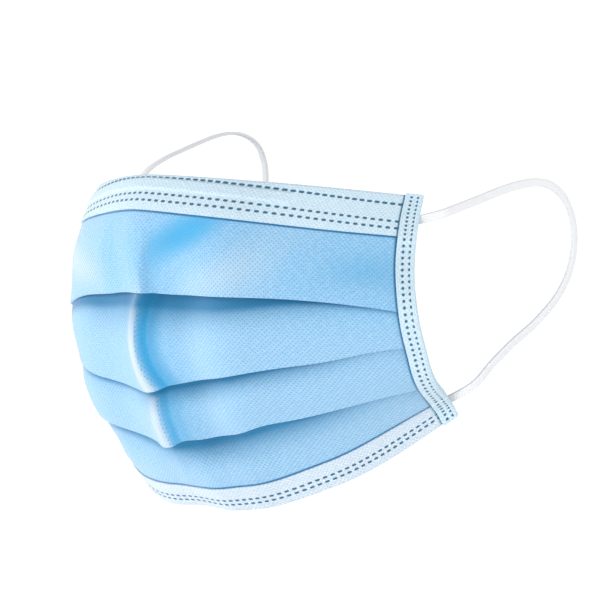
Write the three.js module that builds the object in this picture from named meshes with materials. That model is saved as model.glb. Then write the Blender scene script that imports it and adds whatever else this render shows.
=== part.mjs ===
// Pleated face mask in its worn form: a folded cloth panel, bands on its long edges, a nose strip in the
// upper band, bindings on its short edges and two ear loops.
// Millimetres. +X is the wearer's left, -Y is the front and +Z is up.
// The origin is the point on the inside of the upper band that sits on the bridge of the nose.
import * as THREE from "three";

// Overall form, measured along the outermost cloth.
const HALF_WIDTH = 90;
const NOSE_DROP = 103;
const SIDE_DROP = 66.3;
const SIDE_FALL = 5.9;
const CHIN_TUCK = 31.2;

// Cloth and the clearance between its layers.
const CLOTH = 1;
const LAYER_GAP = 0.35;
const PITCH = CLOTH + LAYER_GAP;

// Pleats: how far each one laps over the next panel on the nose line and at the sides.
const NOSE_LAP = 4.6;
const SIDE_LAP = 6;

// Standing ridge on the nose line of the blue panels, and the hollow beside it.
const RIDGE_RISE = 1.6;
const RIDGE_HALF = 6;
const HOLLOW_DEPTH = 2.2;
const HOLLOW_FROM_RIDGE = 17;
const HOLLOW_HALF = 8;

// Edge bands, side bindings and the strip in the upper band.
const TOP_BAND = 12.6;
const TOP_BAND_INSIDE = 10.5;
const BOTTOM_BAND = 7.6;
const BOTTOM_BAND_INSIDE = 6.2;
const BINDING_WIDTH = 6.6;
const BINDING_SEAT = 2;
const BINDING_SLACK = 0.2;
const BINDING_CLEAR = 2.4;
const BINDING_RAMP = 3;
const BINDING_CORNER = 0.4;
const BINDING_STEPS = 9;
const STRIP_FROM_TOP = 2.9;
const STRIP_WIDTH = 2.8;
const STRIP_THICKNESS = 0.8;
const STRIP_LENGTH = 96;
const STRIP_RAMP = 0.5;

// Ear loops: a flat elastic, with the middle of its route from the upper to the lower corner.
const LOOP_WIDTH = 2.6;
const LOOP_THICKNESS = 1.3;
const LOOP_SIDES = 8;
const LOOP_STEPS = 44;
const LEFT_LOOP_ROUTE = [
  [67.7, 50.7, -6.4], [69.1, 52.2, -6], [70, 55, -5.2], [70.2, 60, -3.7], [70.3, 70, -0.8], [70.4, 80, 1.8],
  [70.8, 90, 4], [71.2, 98, 4.9], [71.6, 105, 4.2], [71.9, 111, 1.2], [72, 115.4, -3.8], [72, 117.8, -10],
  [71.7, 118.2, -17], [71.2, 116.4, -24], [70.6, 112.2, -30.6], [69.8, 105.6, -38], [69, 97.4, -44.6],
  [68.2, 88.6, -50.8], [67.4, 80.4, -56.4], [66.5, 74.8, -60.2], [65.6, 72.2, -61.8], [64.6, 70.8, -62.8],
];
const RIGHT_LOOP_ROUTE = [
  [-67.8, 50.8, -6.4], [-69.2, 52.4, -5.7], [-70, 54.6, -2.8], [-69.9, 58, 2.4], [-69.5, 62.8, 7.4],
  [-69.2, 69.8, 11.4], [-69.3, 79, 14.8], [-69.8, 88, 17.7], [-70.4, 96, 20], [-71, 103, 21.2],
  [-71.5, 109.6, 21.2], [-71.8, 115.6, 19.6], [-72, 120.2, 16.4], [-72, 122.8, 11.6], [-72, 123.8, 5.4],
  [-72, 122.4, -3], [-71.8, 118.6, -12.4], [-71.3, 112.6, -22], [-70.5, 105.2, -31], [-69.5, 96.4, -39.8],
  [-68.4, 87.2, -48.8], [-67.4, 79.4, -56], [-66.5, 74.6, -60.2], [-65.6, 72.2, -61.8], [-64.6, 70.8, -62.8],
];

// Rows of the cloth from the upper edge to the lower edge. drop is a share of NOSE_DROP on the nose line,
// sideDrop a share of SIDE_DROP at the side and tuck a share of CHIN_TUCK behind the foremost fold. ease
// shapes the way from nose to side, flare is how many degrees the row turns less towards the back, and relief
// is the share of the ridge and hollow that the row carries.
const ROWS = [
  { name: "top", drop: 0, sideDrop: 0, tuck: 0.18, ease: 1.39, flare: 0, relief: 0 },
  { name: "brow", drop: 0.1, sideDrop: 0.205, tuck: -0.026, ease: 1.29, flare: 1.8, relief: 0.1 },
  { name: "fold1", drop: 0.345, sideDrop: 0.535, tuck: 0, ease: 1.44, flare: 7.7, relief: 0.8 },
  { name: "fold2", drop: 0.622, sideDrop: 0.676, tuck: 0.17, ease: 1.18, flare: 7.4, relief: 1 },
  { name: "fold3", drop: 0.8, sideDrop: 0.851, tuck: 0.446, ease: 1.2, flare: 5.4, relief: 1 },
  { name: "hem", drop: 0.939, sideDrop: 0.938, tuck: 0.811, ease: 1.63, flare: 1.6, relief: 0.4 },
  { name: "bottom", drop: 1, sideDrop: 1, tuck: 1, ease: 1.8, flare: 2.8, relief: 0.2 },
];
const FOLDS = ["fold1", "fold2", "fold3"].map((name) => ROWS.findIndex((row) => row.name === name));

// How far each row has turned from straight across the face towards the back, in degrees, by its share of
// the way from the nose line to the side. flare is the share of the row's own flare that applies there.
const TURNS = [
  { along: 0, turn: 0, flare: 0 },
  { along: 0.1, turn: 10, flare: 0.5 },
  { along: 0.28, turn: 20, flare: 1 },
  { along: 0.6, turn: 59.4, flare: 1 },
  { along: 1, turn: 45, flare: 1 },
];

// Fineness of the mesh.
const STRIP_COLUMNS = 9;
const CHEEK_COLUMNS = 8;
const ROW_STEPS = 360;
const DROP_STEPS = 120;
const SLOPE_REACH = 0.012;

const mix = (from, to, share) => from + (to - from) * share;
const column = (rows, key) => rows.map((row) => row[key]);

function smoothShare(value) {
  const share = THREE.MathUtils.clamp(value, 0, 1);
  return share * share * (3 - 2 * share);
}

// Cubic curve through uneven points. The slope at an inner point weighs both neighbours by their nearness.
function through(places, values, place) {
  const last = places.length - 1;
  const slope = (i) => {
    if (i === 0) return (values[1] - values[0]) / (places[1] - places[0]);
    if (i === last) return (values[last] - values[last - 1]) / (places[last] - places[last - 1]);
    const before = places[i] - places[i - 1];
    const after = places[i + 1] - places[i];
    const rise = before * before * (values[i + 1] - values[i]) + after * after * (values[i] - values[i - 1]);
    return rise / (before * after * (before + after));
  };
  let i = 0;
  while (i < last - 1 && place > places[i + 1]) i += 1;
  const span = places[i + 1] - places[i];
  const t = (place - places[i]) / span;
  const start = (2 * t ** 3 - 3 * t ** 2 + 1) * values[i] + (t ** 3 - 2 * t ** 2 + t) * span * slope(i);
  const end = (3 * t ** 2 - 2 * t ** 3) * values[i + 1] + (t ** 3 - t ** 2) * span * slope(i + 1);
  return start + end;
}

function rowHeight(row, along) {
  return mix(-NOSE_DROP * row.drop, -SIDE_FALL - SIDE_DROP * row.sideDrop, along ** row.ease);
}

// One row from the nose line to the side, stepped along the cloth so that its length is HALF_WIDTH.
function traceRow(row) {
  const step = 1 / ROW_STEPS;
  const points = [new THREE.Vector3(0, CHIN_TUCK * row.tuck, rowHeight(row, 0))];
  for (let i = 0; i < ROW_STEPS; i += 1) {
    const middle = (i + 0.5) * step;
    const turn = through(column(TURNS, "along"), column(TURNS, "turn"), middle);
    const flare = through(column(TURNS, "along"), column(TURNS, "flare"), middle) * row.flare;
    const angle = THREE.MathUtils.degToRad(turn - flare);
    const fall = rowHeight(row, (i + 1) * step) - rowHeight(row, i * step);
    const level = Math.sqrt(Math.max((HALF_WIDTH * step) ** 2 - fall ** 2, 0));
    const before = points[i];
    points.push(new THREE.Vector3(
      before.x + level * Math.cos(angle),
      before.y + level * Math.sin(angle),
      rowHeight(row, (i + 1) * step),
    ));
  }
  return points;
}
const TRACES = ROWS.map(traceRow);

function tracePoint(trace, across) {
  const place = Math.abs(across) * ROW_STEPS;
  const i = Math.min(Math.floor(place), ROW_STEPS - 1);
  const point = trace[i].clone().lerp(trace[i + 1], place - i);
  if (across < 0) point.x = -point.x;
  return point;
}

// The level surface through the rows. across runs from -1 to 1 and down from 0 to 1.
function rowShares(across) {
  const along = Math.abs(across);
  return ROWS.map((row) => mix(row.drop, row.sideDrop, along ** row.ease));
}

function levelPoint(across, down) {
  const shares = rowShares(across);
  const points = TRACES.map((trace) => tracePoint(trace, across));
  return new THREE.Vector3(
    through(shares, column(points, "x"), down),
    through(shares, column(points, "y"), down),
    through(shares, column(points, "z"), down),
  );
}

function levelNormal(across, down) {
  const alongWidth = levelPoint(across + SLOPE_REACH, down).sub(levelPoint(across - SLOPE_REACH, down));
  const alongDrop = levelPoint(across, down + SLOPE_REACH).sub(levelPoint(across, down - SLOPE_REACH));
  return alongDrop.cross(alongWidth).normalize();
}

// Ridge on the nose line and the hollow on each side of it, as a height above the level surface.
function relief(across, down) {
  const away = Math.abs(across) * HALF_WIDTH;
  const ridge = RIDGE_RISE * Math.exp(-((away / RIDGE_HALF) ** 2));
  const hollow = HOLLOW_DEPTH * Math.exp(-(((away - HOLLOW_FROM_RIDGE) / HOLLOW_HALF) ** 2));
  return through(rowShares(across), column(ROWS, "relief"), down) * (ridge - hollow);
}

// Lengths down one line of the cloth, kept for each line that is asked for.
const lines = new Map();
function line(across) {
  if (!lines.has(across)) {
    const lengths = [0];
    let before = levelPoint(across, 0);
    for (let i = 1; i <= DROP_STEPS; i += 1) {
      const point = levelPoint(across, i / DROP_STEPS);
      lengths.push(lengths[i - 1] + point.distanceTo(before));
      before = point;
    }
    const lengthAt = (share) => {
      const i = Math.min(Math.floor(share * DROP_STEPS), DROP_STEPS - 1);
      return mix(lengths[i], lengths[i + 1], share * DROP_STEPS - i);
    };
    const folds = FOLDS.map((index) => lengthAt(rowShares(across)[index]));
    lines.set(across, { lengths, folds, end: lengths[DROP_STEPS] });
  }
  return lines.get(across);
}

// Point of the cloth at a share across, a length down from the upper edge and a height above the surface.
function surfacePoint(across, length, height) {
  const { lengths } = line(across);
  let i = 0;
  while (i < DROP_STEPS - 1 && length > lengths[i + 1]) i += 1;
  const down = (i + (length - lengths[i]) / (lengths[i + 1] - lengths[i])) / DROP_STEPS;
  const lift = height + relief(across, THREE.MathUtils.clamp(down, 0, 1));
  return levelPoint(across, down).addScaledVector(levelNormal(across, down), lift);
}

// The same point seen from the origin, which lies on the inner face of the upper band, halfway down it.
const BRIDGE = surfacePoint(0, TOP_BAND / 2, -PITCH - CLOTH / 2);
function clothPoint(across, length, height) {
  return surfacePoint(across, length, height).sub(BRIDGE);
}

// The two faces of a sheet whose middle follows the points [a, b], offset square to the middle.
function offsetFaces(middle, thickness) {
  const last = middle.length - 1;
  const headings = middle.slice(1).map(([a, b], i) => Math.atan2(b - middle[i][1], a - middle[i][0]));
  return middle.map(([a, b], i) => {
    const before = headings[Math.max(i - 1, 0)];
    const after = headings[Math.min(i, last - 1)];
    let bend = after - before;
    if (bend > Math.PI) bend -= 2 * Math.PI;
    if (bend < -Math.PI) bend += 2 * Math.PI;
    const normal = before + bend / 2 + Math.PI / 2;
    const reach = thickness / 2 / Math.cos(bend / 2);
    const shift = [Math.cos(normal) * reach, Math.sin(normal) * reach];
    return [[a + shift[0], b + shift[1]], [a - shift[0], b - shift[1]]];
  });
}

// Closed sheet: at each station a section of offset pairs is placed in space, and the pairs are joined up.
function sheet(name, material, stations, thickness, middleAt, pointAt) {
  const positions = [];
  const faces = [];
  let pairs = 0;
  stations.forEach((station) => {
    const section = offsetFaces(middleAt(station), thickness);
    pairs = section.length;
    section.forEach((pair) => pair.forEach(([a, b]) => positions.push(...pointAt(station, a, b).toArray())));
  });
  const corner = (station, pair, side) => (station * pairs + pair) * 2 + side;
  const quad = (a, b, c, d) => faces.push(a, b, c, a, c, d);
  const end = stations.length - 1;
  const edge = pairs - 1;
  for (let i = 0; i < end; i += 1) {
    for (let j = 0; j < edge; j += 1) {
      quad(corner(i, j, 0), corner(i + 1, j, 0), corner(i + 1, j + 1, 0), corner(i, j + 1, 0));
      quad(corner(i, j, 1), corner(i, j + 1, 1), corner(i + 1, j + 1, 1), corner(i + 1, j, 1));
    }
    quad(corner(i, 0, 1), corner(i + 1, 0, 1), corner(i + 1, 0, 0), corner(i, 0, 0));
    quad(corner(i, edge, 0), corner(i + 1, edge, 0), corner(i + 1, edge, 1), corner(i, edge, 1));
  }
  for (let j = 0; j < edge; j += 1) {
    quad(corner(0, j, 0), corner(0, j + 1, 0), corner(0, j + 1, 1), corner(0, j, 1));
    quad(corner(end, j, 1), corner(end, j + 1, 1), corner(end, j + 1, 0), corner(end, j, 0));
  }
  const geometry = new THREE.BufferGeometry();
  geometry.setAttribute("position", new THREE.Float32BufferAttribute(positions, 3));
  geometry.setIndex(volume(positions, faces) < 0 ? faces.reverse() : faces);
  geometry.computeVertexNormals();
  const mesh = new THREE.Mesh(geometry, material);
  mesh.name = name;
  return mesh;
}

// Signed volume of a closed mesh, positive where the faces point outwards.
function volume(positions, faces) {
  const at = (i) => new THREE.Vector3().fromArray(positions, i * 3);
  let total = 0;
  for (let i = 0; i < faces.length; i += 3) {
    total += at(faces[i]).dot(at(faces[i + 1]).cross(at(faces[i + 2]))) / 6;
  }
  return total;
}

// Half turn of a sheet's middle from one height to another, bulging towards higher lengths if side is 1.
function halfTurn(length, fromHeight, toHeight, side) {
  const radius = Math.abs(fromHeight - toHeight) / 2;
  const centre = (fromHeight + toHeight) / 2;
  const way = Math.sign(fromHeight - toHeight);
  return [90, 30, -30, -90].map((degrees) => {
    const angle = THREE.MathUtils.degToRad(degrees);
    return [length + side * radius * Math.cos(angle), centre + way * radius * Math.sin(angle)];
  });
}

// Lines of the cloth from one side to the other. One pair of lines falls on the strip's ends.
const STRIP_END = STRIP_LENGTH / 2 / HALF_WIDTH;
const CLOTH_END = 1 - BINDING_SEAT / HALF_WIDTH;
const steps = (from, to, count) => Array.from({ length: count }, (_, i) => mix(from, to, (i + 1) / count));
const HALF_LINES = [...steps(0, STRIP_END, STRIP_COLUMNS), ...steps(STRIP_END, CLOTH_END, CHEEK_COLUMNS)];
const ACROSS = [...HALF_LINES.map((place) => -place).reverse(), 0, ...HALF_LINES];
const EDGE_INSET = CLOTH / 2 + PITCH;

// Where the points of the panel lie between two pleats, with the first ones close for the steep rise.
const RISE_SHARES = [0, 0.25, 0.55, 1];
const UPPER_STEPS = 4;

// Middle of the pleated panel down one line: straight to each fold, back up under it and out again.
function panelMiddle(across) {
  const { folds, end } = line(across);
  const lap = mix(NOSE_LAP, SIDE_LAP, smoothShare(Math.abs(across)));
  const levels = [...folds.slice(1).map((fold) => fold - lap - PITCH), end - BOTTOM_BAND - PITCH];
  const points = [EDGE_INSET, ...steps(EDGE_INSET, folds[0], UPPER_STEPS + 1).slice(0, -1)];
  const middle = points.map((length) => [length, 0]);
  folds.forEach((fold, index) => {
    const start = fold + PITCH + LAYER_GAP;
    middle.push(...halfTurn(fold, 0, -PITCH, 1));
    middle.push(...halfTurn(fold - lap, -PITCH, -2 * PITCH, -1));
    RISE_SHARES.forEach((share) => {
      middle.push([mix(start, levels[index], share), -2 * PITCH * (1 - share) ** 2]);
    });
  });
  const hem = [end - BOTTOM_BAND, ...steps(end - BOTTOM_BAND, end - EDGE_INSET, 2)];
  return [...middle, ...hem.map((length) => [length, 0])];
}

// Middle of the upper band, folded over the upper edge and raised where it covers the strip.
function bandMiddle(across) {
  const inStrip = Math.abs(across) <= STRIP_END ? STRIP_THICKNESS + LAYER_GAP : 0;
  const stripStart = STRIP_FROM_TOP - CLOTH / 2;
  const stripStop = STRIP_FROM_TOP + STRIP_WIDTH + CLOTH / 2;
  return [
    [TOP_BAND, PITCH],
    [mix(stripStop + STRIP_RAMP, TOP_BAND, 0.5), PITCH],
    [stripStop + STRIP_RAMP, PITCH],
    [stripStop, PITCH + inStrip],
    [stripStart, PITCH + inStrip],
    ...halfTurn(EDGE_INSET, PITCH, -PITCH, -1),
    [mix(EDGE_INSET, TOP_BAND_INSIDE, 0.5), -PITCH],
    [TOP_BAND_INSIDE, -PITCH],
  ];
}

// Middle of the lower band, counted up from the lower edge that it is folded over.
function hemMiddle() {
  return [
    [BOTTOM_BAND, PITCH],
    [mix(EDGE_INSET, BOTTOM_BAND, 0.5), PITCH],
    ...halfTurn(EDGE_INSET, PITCH, -PITCH, -1),
    [mix(EDGE_INSET, BOTTOM_BAND_INSIDE, 0.5), -PITCH],
    [BOTTOM_BAND_INSIDE, -PITCH],
  ];
}

// Side binding: its leaves stand higher over the bands than over the pleats between them.
function overBand(length, end) {
  const above = 1 - smoothShare((length - TOP_BAND - BINDING_CLEAR) / BINDING_RAMP);
  const below = 1 - smoothShare((end - length - BOTTOM_BAND - BINDING_CLEAR) / BINDING_RAMP);
  return Math.max(above, below);
}

function bindingMiddle(length) {
  const { end } = line(1);
  const outer = mix(PITCH, 2 * PITCH, overBand(length, end)) + BINDING_SLACK;
  const inner = -mix(3 * PITCH, 2 * PITCH, overBand(length, end)) - BINDING_SLACK;
  return [
    [BINDING_WIDTH, outer],
    [mix(BINDING_SEAT, BINDING_WIDTH, 0.5), outer],
    [BINDING_SEAT - BINDING_CORNER, outer],
    [CLOTH / 2 + BINDING_CORNER / 2, outer - BINDING_CORNER],
    [CLOTH / 2, outer - CLOTH],
    [CLOTH / 2, inner + CLOTH],
    [CLOTH / 2 + BINDING_CORNER / 2, inner + BINDING_CORNER],
    [BINDING_SEAT - BINDING_CORNER, inner],
    [mix(BINDING_SEAT, BINDING_WIDTH, 0.5), inner],
    [BINDING_WIDTH, inner],
  ];
}

function bindingStations() {
  const { end } = line(1);
  const upper = TOP_BAND + BINDING_CLEAR;
  const lower = end - BOTTOM_BAND - BINDING_CLEAR;
  const lengths = [0, ...steps(0, upper, 2), upper + BINDING_RAMP];
  lengths.push(...steps(upper + BINDING_RAMP, lower - BINDING_RAMP, BINDING_STEPS));
  lengths.push(lower, ...steps(lower, end, 2));
  return lengths;
}

function bindingPoint(side) {
  return (length, inward, height) => {
    const across = side * (1 - inward / HALF_WIDTH);
    return clothPoint(across, length * (line(across).end / line(1).end), height);
  };
}

// Ear loop: an octagon stretched to a flat elastic and carried along its route.
function earLoop(name, material, route, widthAcross) {
  const across = widthAcross ? LOOP_WIDTH : LOOP_THICKNESS;
  const upright = widthAcross ? LOOP_THICKNESS : LOOP_WIDTH;
  const corners = steps(0, 2 * Math.PI, LOOP_SIDES).map((angle) => {
    const reach = 0.5 / Math.cos(Math.PI / LOOP_SIDES);
    const turned = angle + Math.PI / LOOP_SIDES;
    return new THREE.Vector2(Math.cos(turned) * across * reach, Math.sin(turned) * upright * reach);
  });
  const extrudePath = new THREE.CatmullRomCurve3(route.map((point) => new THREE.Vector3(...point)));
  const options = { steps: LOOP_STEPS, extrudePath, bevelEnabled: false };
  const geometry = new THREE.ExtrudeGeometry(new THREE.Shape(corners), options);
  const mesh = new THREE.Mesh(geometry, material);
  mesh.name = name;
  return mesh;
}

const blueCloth = new THREE.MeshStandardMaterial({ color: 0x7fc4ef, roughness: 0.85, metalness: 0 });
const whiteCloth = new THREE.MeshStandardMaterial({ color: 0xe6f1f8, roughness: 0.85, metalness: 0 });
const stripMetal = new THREE.MeshStandardMaterial({ color: 0xeef3f7, roughness: 0.5, metalness: 0 });
const elastic = new THREE.MeshStandardMaterial({ color: 0xf4f6f7, roughness: 0.8, metalness: 0 });

const stripLines = ACROSS.filter((across) => Math.abs(across) <= STRIP_END);
const stripMiddle = () => [0, 0.5, 1].map((share) => [
  STRIP_FROM_TOP + STRIP_WIDTH * share,
  CLOTH / 2 + LAYER_GAP + STRIP_THICKNESS / 2,
]);
const fromBottom = (across, distance, height) => clothPoint(across, line(across).end - distance, height);

const mask = new THREE.Group();
mask.add(sheet("face_panel", blueCloth, ACROSS, CLOTH, panelMiddle, clothPoint));
mask.add(sheet("top_band", whiteCloth, ACROSS, CLOTH, bandMiddle, clothPoint));
mask.add(sheet("bottom_band", whiteCloth, ACROSS, CLOTH, hemMiddle, fromBottom));
mask.add(sheet("nose_strip", stripMetal, stripLines, STRIP_THICKNESS, stripMiddle, clothPoint));
mask.add(sheet("side_binding_left", whiteCloth, bindingStations(), CLOTH, bindingMiddle, bindingPoint(1)));
mask.add(sheet("side_binding_right", whiteCloth, bindingStations(), CLOTH, bindingMiddle, bindingPoint(-1)));
mask.add(earLoop("ear_loop_left", elastic, LEFT_LOOP_ROUTE, false));
mask.add(earLoop("ear_loop_right", elastic, RIGHT_LOOP_ROUTE, true));

export default mask;
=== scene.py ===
"""Pleated face mask in its worn form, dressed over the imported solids.

Every piece of cloth follows one surface. A point of it is named by its share across, from -1 to 1 and
positive on the wearer's left, its length down the cloth from the upper edge and its height above the
surface, both in millimetres.
"""
from functools import partial

import bpy
import numpy as np
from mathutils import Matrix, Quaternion, Vector


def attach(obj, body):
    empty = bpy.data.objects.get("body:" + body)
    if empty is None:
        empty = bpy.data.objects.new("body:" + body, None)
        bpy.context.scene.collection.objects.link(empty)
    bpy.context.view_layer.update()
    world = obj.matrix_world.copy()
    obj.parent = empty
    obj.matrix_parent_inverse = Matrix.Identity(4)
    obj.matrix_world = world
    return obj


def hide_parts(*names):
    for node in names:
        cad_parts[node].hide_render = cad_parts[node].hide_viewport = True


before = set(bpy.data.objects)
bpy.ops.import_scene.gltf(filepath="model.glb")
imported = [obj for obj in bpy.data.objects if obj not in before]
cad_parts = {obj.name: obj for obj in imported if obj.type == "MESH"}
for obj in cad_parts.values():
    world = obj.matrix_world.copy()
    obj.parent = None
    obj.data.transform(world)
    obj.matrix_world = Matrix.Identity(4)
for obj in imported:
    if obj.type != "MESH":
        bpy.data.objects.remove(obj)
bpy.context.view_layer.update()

bl_info = {
    "name": "Pleated Face Mask",
    "version": (1, 0, 0),
    "blender": (4, 5, 0),
    "location": "3D View > Sidebar > Face Mask",
    "description": "Builds a worn pleated face mask with bands, bindings, nose strip and ear loops",
    "category": "Add Mesh",
}

MM = 0.001

# Overall form, the same values as the solids, in millimetres.
HALF_WIDTH = 90.0
NOSE_DROP = 103.0
SIDE_DROP = 66.3
SIDE_FALL = 5.9
CHIN_TUCK = 31.2
NOSE_LAP = 4.6
SIDE_LAP = 6.0
RIDGE_RISE = 1.6
RIDGE_HALF = 6.0
HOLLOW_DEPTH = 2.2
HOLLOW_FROM_RIDGE = 17.0
HOLLOW_HALF = 8.0
TOP_BAND = 12.6
TOP_BAND_INSIDE = 10.5
BOTTOM_BAND = 7.6
BOTTOM_BAND_INSIDE = 6.2
BINDING_WIDTH = 6.6
STRIP_FROM_TOP = 2.9
STRIP_WIDTH = 2.8
STRIP_LENGTH = 96.0
BRIDGE_DEPTH = -1.85

# Rows of the cloth from the upper to the lower edge: drop, side drop, tuck, ease, flare and relief.
ROWS = np.array([
    (0.0, 0.0, 0.18, 1.39, 0.0, 0.0),
    (0.1, 0.205, -0.026, 1.29, 1.8, 0.1),
    (0.345, 0.535, 0.0, 1.44, 7.7, 0.8),
    (0.622, 0.676, 0.17, 1.18, 7.4, 1.0),
    (0.8, 0.851, 0.446, 1.2, 5.4, 1.0),
    (0.939, 0.938, 0.811, 1.63, 1.6, 0.4),
    (1.0, 1.0, 1.0, 1.8, 2.8, 0.2),
])
DROP, ROW_SIDE_DROP, TUCK, EASE, FLARE, RELIEF = ROWS.T
FOLD_ROWS = (2, 3, 4)

# How far a row has turned towards the back by its share of the way to the side, in degrees.
TURN_ALONG = np.array([0.0, 0.1, 0.28, 0.6, 1.0])
TURN = np.array([0.0, 10.0, 20.0, 59.4, 45.0])
TURN_FLARE = np.array([0.0, 0.5, 1.0, 1.0, 1.0])
ROW_STEPS = 360
TABLE_STEPS = 240
SLOPE_REACH = 0.012

# Middle of each ear loop's route, between its two ends behind the bindings.
LEFT_LOOP_ROUTE = np.array([
    (69.9, 55, -4.6), (70.2, 60, -3.3), (70.3, 70, -0.8), (70.4, 80, 1.8), (70.8, 90, 4), (71.2, 98, 4.9),
    (71.6, 105, 4.2), (71.9, 111, 1.2), (72, 115.4, -3.8), (72, 117.8, -10), (71.7, 118.2, -17),
    (71.2, 116.4, -24), (70.6, 111.6, -31), (69.7, 103, -38.2), (68.8, 90.6, -45.4), (67.9, 81.8, -51.4),
    (66.9, 75.4, -56.8),
])
RIGHT_LOOP_ROUTE = np.array([
    (-70, 54.6, -2.8), (-69.9, 58, 2.4), (-69.5, 62.8, 7.4), (-69.2, 69.8, 11.4), (-69.3, 79, 14.8),
    (-69.8, 88, 17.7), (-70.4, 96, 20), (-71, 103, 21.2), (-71.5, 109.6, 21.2), (-71.8, 115.6, 19.6),
    (-72, 120.2, 16.4), (-72, 122.8, 11.6), (-72, 123.8, 5.4), (-72, 122.4, -3), (-71.8, 118.6, -12.4),
    (-71.3, 112.6, -22), (-70.5, 105.2, -31), (-69.5, 96.4, -39.8), (-68.4, 87.2, -48.8),
    (-67.4, 79.4, -56), (-66.5, 74.6, -60.2),
])
LOOP_INWARD = 3.6
LOOP_HEIGHT = -2.4
LOOP_START = 8.4
LOOP_END_RISE = 3.2
LOOP_STEPS = 240
LOOP_SIDES = 28
LOOP_CORNER_POWER = 0.45


def mix(start, stop, share):
    """start at share 0 and stop at share 1, straight between them."""
    return start + (stop - start) * share


def smooth_share(value):
    """The share held between 0 and 1 and eased at both ends, 3t^2 - 2t^3."""
    share = np.clip(value, 0.0, 1.0)
    return share * share * (3 - 2 * share)


def through(places, values, place):
    """Cubic curve through knots. places is (knots, n), values (knots, n) or (knots, n, 3) and place (n).

    An inner knot's slope weighs the slopes on both sides by their nearness. An end knot's is straight.
    """
    gaps = np.diff(places, axis=0)
    wide = values.ndim > places.ndim

    def fit(array):
        """The array with one more axis where the values are points."""
        return array[..., None] if wide else array

    straight = np.diff(values, axis=0) / fit(gaps)
    before = fit(gaps[:-1])
    after = fit(gaps[1:])
    inner = (before * straight[1:] + after * straight[:-1]) / (before + after)
    slopes = np.concatenate([straight[:1], inner, straight[-1:]])
    index = (place[None] > places[1:-1]).sum(axis=0)
    column = np.arange(place.size)
    span = gaps[index, column]
    t = fit((place - places[index, column]) / span)
    span = fit(span)
    start = (2 * t**3 - 3 * t**2 + 1) * values[index, column]
    start = start + (t**3 - 2 * t**2 + t) * span * slopes[index, column]
    stop = (3 * t**2 - 2 * t**3) * values[index + 1, column]
    return start + stop + (t**3 - t**2) * span * slopes[index + 1, column]


def through_fixed(places, values, place):
    """The same curve where all the points share one set of knots."""
    flat = np.ravel(place)
    knots = np.repeat(np.asarray(places, float)[:, None], flat.size, axis=1)
    heights = np.repeat(np.asarray(values, float)[:, None], flat.size, axis=1)
    return through(knots, heights, flat).reshape(np.shape(place))


def row_height(along):
    """Height of every row at shares along it, eased from the nose to the side."""
    at_nose = -NOSE_DROP * DROP[:, None]
    at_side = -SIDE_FALL - SIDE_DROP * ROW_SIDE_DROP[:, None]
    return mix(at_nose, at_side, along ** EASE[:, None])


def trace_rows():
    """Every row stepped from the nose to the side: a step turns by the table and keeps its length."""
    shares = np.linspace(0, 1, ROW_STEPS + 1)
    middle = (shares[1:] + shares[:-1]) / 2
    turned = through_fixed(TURN_ALONG, TURN, middle)
    flared = through_fixed(TURN_ALONG, TURN_FLARE, middle) * FLARE[:, None]
    angle = np.radians(turned - flared)
    height = row_height(shares[None])
    step = HALF_WIDTH / ROW_STEPS
    level = np.sqrt(np.maximum(step**2 - np.diff(height, axis=1) ** 2, 0))
    start = np.zeros((len(ROWS), 1))
    x = np.hstack([start, np.cumsum(level * np.cos(angle), axis=1)])
    y = np.hstack([start, np.cumsum(level * np.sin(angle), axis=1)]) + CHIN_TUCK * TUCK[:, None]
    return shares, np.stack([x, y, height], axis=-1)


TRACE_SHARES, TRACES = trace_rows()


def row_shares(across):
    """The knots down each line: every row's drop eased from the nose to the side."""
    return mix(DROP[:, None], ROW_SIDE_DROP[:, None], np.abs(across) ** EASE[:, None])


def level_points(across, down):
    """Points of the level surface: the rows' points at this share across, joined by the cubic curve."""
    along = np.abs(across)
    rows = [[np.interp(along, TRACE_SHARES, row[:, axis]) for axis in range(3)] for row in TRACES]
    points = np.moveaxis(np.array(rows), 1, 2)
    points[..., 0] *= np.where(across < 0, -1.0, 1.0)
    return through(row_shares(across), points, down)


def level_normals(across, down):
    """Outward normal: the slope down the cloth crossed with the slope along it."""
    wide = level_points(across + SLOPE_REACH, down) - level_points(across - SLOPE_REACH, down)
    deep = level_points(across, down + SLOPE_REACH) - level_points(across, down - SLOPE_REACH)
    normal = np.cross(deep, wide)
    return normal / np.linalg.norm(normal, axis=-1, keepdims=True)


def measure_lines():
    """Tables of the length down each line of a grid, and of the share down at even lengths."""
    shares = np.linspace(0, 1, TABLE_STEPS + 1)
    across, down = np.meshgrid(shares, shares, indexing="xy")
    points = level_points(across.ravel(), down.ravel()).reshape(*across.shape, 3)
    pieces = np.linalg.norm(np.diff(points, axis=0), axis=-1)
    lengths = np.vstack([np.zeros((1, TABLE_STEPS + 1)), np.cumsum(pieces, axis=0)])
    even = [np.interp(shares * column[-1], column, shares) for column in lengths.T]
    return lengths, np.array(even).T


TABLE_LENGTHS, TABLE_DOWNS = measure_lines()


def look_up(table, across, down):
    """Value of a table between its four nearest entries."""
    x = np.clip(np.abs(across), 0, 1) * TABLE_STEPS
    y = np.clip(down, 0, 1) * TABLE_STEPS
    i = np.minimum(x.astype(int), TABLE_STEPS - 1)
    j = np.minimum(y.astype(int), TABLE_STEPS - 1)
    upper = mix(table[j, i], table[j, i + 1], x - i)
    lower = mix(table[j + 1, i], table[j + 1, i + 1], x - i)
    return mix(upper, lower, y - j)


def end_length(across):
    """Length of the cloth down one line, from the upper to the lower edge."""
    return look_up(TABLE_LENGTHS, across, np.ones_like(across))


def fold_lengths(across):
    """Length down to each of the three folds."""
    shares = row_shares(across)
    return [look_up(TABLE_LENGTHS, across, shares[row]) for row in FOLD_ROWS]


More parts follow.
